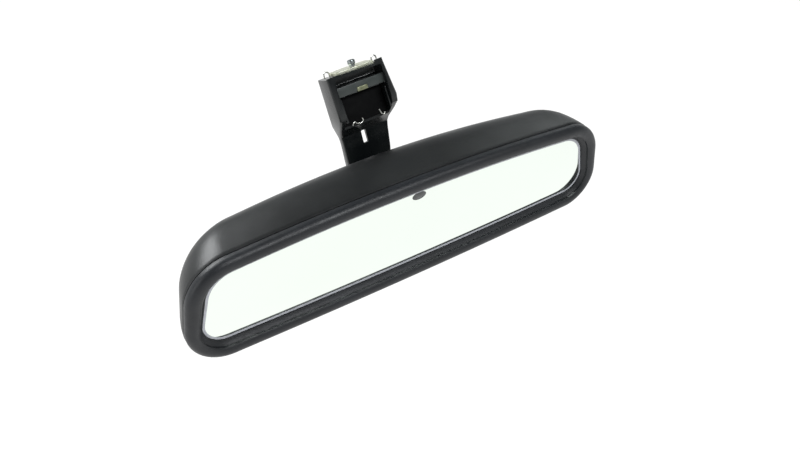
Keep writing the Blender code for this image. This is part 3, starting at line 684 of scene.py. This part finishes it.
def make_stalk():
    """Lofted body, cut for the foot's deck, the slanted lip, the bay, the web and the stud."""
    rows = [Vector(row) for row in STALK_SECTIONS]
    low = smooth_path(rows[:SMOOTH_SECTIONS], 4)
    rings = []
    for y, z, shift, width, depth, slope, radius in low + rows[SMOOTH_SECTIONS:]:
        rings.append(rounded_section((y, z), shift, width, depth, radians(slope), radius))
    stalk = to_object("stalk_body", rings_to_bmesh(rings), ROLLED)
    slant = FOOT @ Matrix.Rotation(radians(LIP_SLANT), 4, "Y")
    web = ROLLED @ Matrix.Translation((0, *WEB_PLACE))
    web = web @ Euler((-radians(WEB_SLOPE), 0, 0)).to_matrix().to_4x4()
    cut(stalk, rounded_box((-20, 1.0, 0), (20, 20, 6), 0), FOOT)
    cut(stalk, rounded_box((-20, -6, 1.3), (20, 20, 8), 0), slant)
    cut(stalk, rounded_box((-10.6, -6, 0.45), (10.9, 3, 9), 1.1), FOOT)
    cut(stalk, rounded_box((-12.4, -16, -31.0), (14.0, 9.6, -10.2), 0.9), BAY)
    cut(stalk, rounded_box((-12.4, -6, -5.4), (13.6, 9.6, -0.9), 0.7), FOOT)
    cut(stalk, rounded_box((-12.8, -16, -10.9), (14.2, 2.6, -5.0), 0.6), FOOT)
    cut(stalk, rounded_box((-8.5, 1.5, -12.0), (10.5, 14, 3.9), 0.8), web)
    cut(stalk, rounded_box((-1.25, -6, -3.3), (1.35, 10, 3.6), 0.5), web)
    shank = [(0, ARM - 4), (3.0, ARM - 4), (3.0, ARM + 12), (0, ARM + 12)]
    cut(stalk, turned(shank, 40), ROLLED)
    seat = [(0, ARM + 3.7), (6.3, ARM + 3.7), (6.3, ARM + 14), (0, ARM + 14)]
    cut(stalk, turned(seat, 48), ROLLED)
    round_edges(stalk, 0.28, 2, 30)
    done(stalk, "stalk", "gloss_black", "stalk", smooth=30)


def make_bay_details():
    """A near-black matte sheet over the back wall of the bay is painted shade; rails, the latch
    bar, painted lighter as a highlight, and a sprung clip sit in it.
    """
    # near-black sheet on the bay's back wall: painted shade
    insert = rounded_box((-12.1, 8.3, -25.2), (13.7, 9.3, -10.6), 0.35)
    done(to_object("bay_painted_shade", insert, BAY), "stalk", "inner_black")
    for name, low, high in (("bay_rail_left", -12.3, -11.3), ("bay_rail_right", 12.9, 13.9)):
        rail = rounded_box((low, 2.2, -23.0), (high, 3.4, -12.0), 0.35)
        done(to_object(name, rail, BAY), "stalk", "gloss_black")
    # the gloss black latch bar takes the lighter latch look: painted highlight
    latch = rounded_box((-12.6, 2.3, -10.2), (14.0, 3.1, -5.5), 0.25)
    done(to_object("latch_bar", latch, FOOT), "stalk", "gloss_black", look="latch")
    clip = rounded_box((-1.6, 1.95, -10.3), (4.4, 2.4, -8.1), 0.2)
    done(to_object("spring_clip", clip, FOOT), "stalk", "zinc", look="brass")


# ---------------------------------------------------------------- foot


def make_foot():
    """Cast plate with an arched back edge, the pin and the spring eyes."""
    half, deep, low, high = 10.8, 5.2, 0.3, 1.9
    arch, arch_steps = 1.6, 12
    outline = [(-half, -deep), (half, -deep), (half, deep - arch)]
    for i in range(1, arch_steps):
        x = half * (1 - 2 * i / arch_steps)
        outline.append((x, deep - arch * (x / half) ** 2))
    outline.append((-half, deep - arch))
    rings = [[(x, y, z) for x, y in outline] for z in (low, high)]
    middle = FOOT @ Matrix.Translation((0, FOOT_DEPTH / 2, 0))
    plate = to_object("foot_slider", rings_to_bmesh(rings), middle)
    round_edges(plate, 0.35, 3, 40)
    done(plate, "stalk", "zinc", "foot_plate")
    pin = [(0, 2.2), (1.35, 2.2), (1.5, 2.35), (1.5, 3.0), (1.9, 3.5), (2.0, 3.7), (2.0, 4.75)]
    pin += [(1.85, 5.15), (1.4, 5.4), (0.9, 5.4), (0.8, 4.8), (0, 4.8)]
    turn_up = FOOT @ Matrix.Translation((0, FOOT_DEPTH / 2 - 3.2, 0))
    turn_up = turn_up @ Matrix.Rotation(pi / 2, 4, "X")
    done(to_object("foot_pin", turned(pin, 40), turn_up), "stalk", "steel", "lock_pin")
    for name, node, x in (
        ("eye_left", "spring_eye_left", -12.95),
        ("eye_right", "spring_eye_right", 13.9),
    ):
        y, loop = 7.0, 1.45
        path = [(x - 1.25, y, low), (x - 1.4, y, low + 0.8)]
        for i in range(1, 8):
            a = pi * (1 - i / 8)
            path.append((x + loop * cos(a), y, low + 1.5 + loop * sin(a)))
        path += [(x + 1.4, y, low + 0.8), (x + 1.25, y, low)]
        done(to_object(name, tube(path, 0.38), FOOT), "stalk", "wire", node, smooth=50)


def make_bay_wires():
    """Two bent wire ends that stand in the bottom of the bay."""
    y, z = 6.9, -26.2
    left = [(-7.8, y, z), (-7.0, y, z + 1.3), (-5.8, y, z + 1.4), (-5.0, y, z + 0.4)]
    left += [(-3.8, y, z), (-2.4, y, z + 0.1), (-1.4, y, z + 1.0), (-1.6, y, z + 2.2)]
    right = [(8.8, y, z + 3.2), (9.3, y, z + 1.6), (9.8, y, z + 0.4), (10.8, y, z)]
    right += [(11.6, y, z + 0.7)]
    for name, node, path in (
        ("wire_end_left", "bay_wire_left", left),
        ("wire_end_right", "bay_wire_right", right),
    ):
        done(to_object(name, tube(path, 0.4), FOOT), "stalk", "wire", node, smooth=50)


# ---------------------------------------------------------------- ball stud and CAD pieces


def make_stud():
    """Turned ball stud with a plain neck, a collar and a threaded shank."""
    collar, end = ARM - 0.3, ARM + 6.6 + 4.6
    neck_angle, steps = 0.4808, 28  # where the neck meets the ball, from the stud's axis
    profile = [(0, 18.0)]
    for i in range(1, steps + 1):
        a = (pi - neck_angle) * i / steps
        profile.append((BALL_RADIUS * sin(a), BALL.y - BALL_RADIUS * cos(a)))
    profile += [(3.7, 34.4), (3.7, collar - 3.4), (4.0, collar - 3.0), (5.3, collar - 1.7)]
    profile += [(5.4, collar - 1.5), (5.4, collar - 0.2), (5.2, collar), (2.7, collar)]
    for i in range(6):
        y = collar + 7.4 + i * 0.66
        profile += [(2.7, y), (2.52, y + 0.33)]
    profile += [(2.7, end - 0.5), (2.3, end), (0, end)]
    done(to_object("stud", turned(profile, 56), ROLLED), "stalk", "steel", "ball_stud", smooth=40)


def dress_frame():
    """Every CAD node gets the material of its slot."""
    slots = {part["node"]: part["material_slot"] for part in frame["record"]["subparts"]}
    for name, node in NODES.items():
        node.data.materials.clear()
        node.data.materials.append(LOOKS[slots[name]])


make_camera()
make_studio()
LOOKS = make_looks()
dress_frame()
make_housing()
make_bezel()
make_glass()
make_stalk()
make_bay_details()
make_foot()
make_bay_wires()
make_stud()
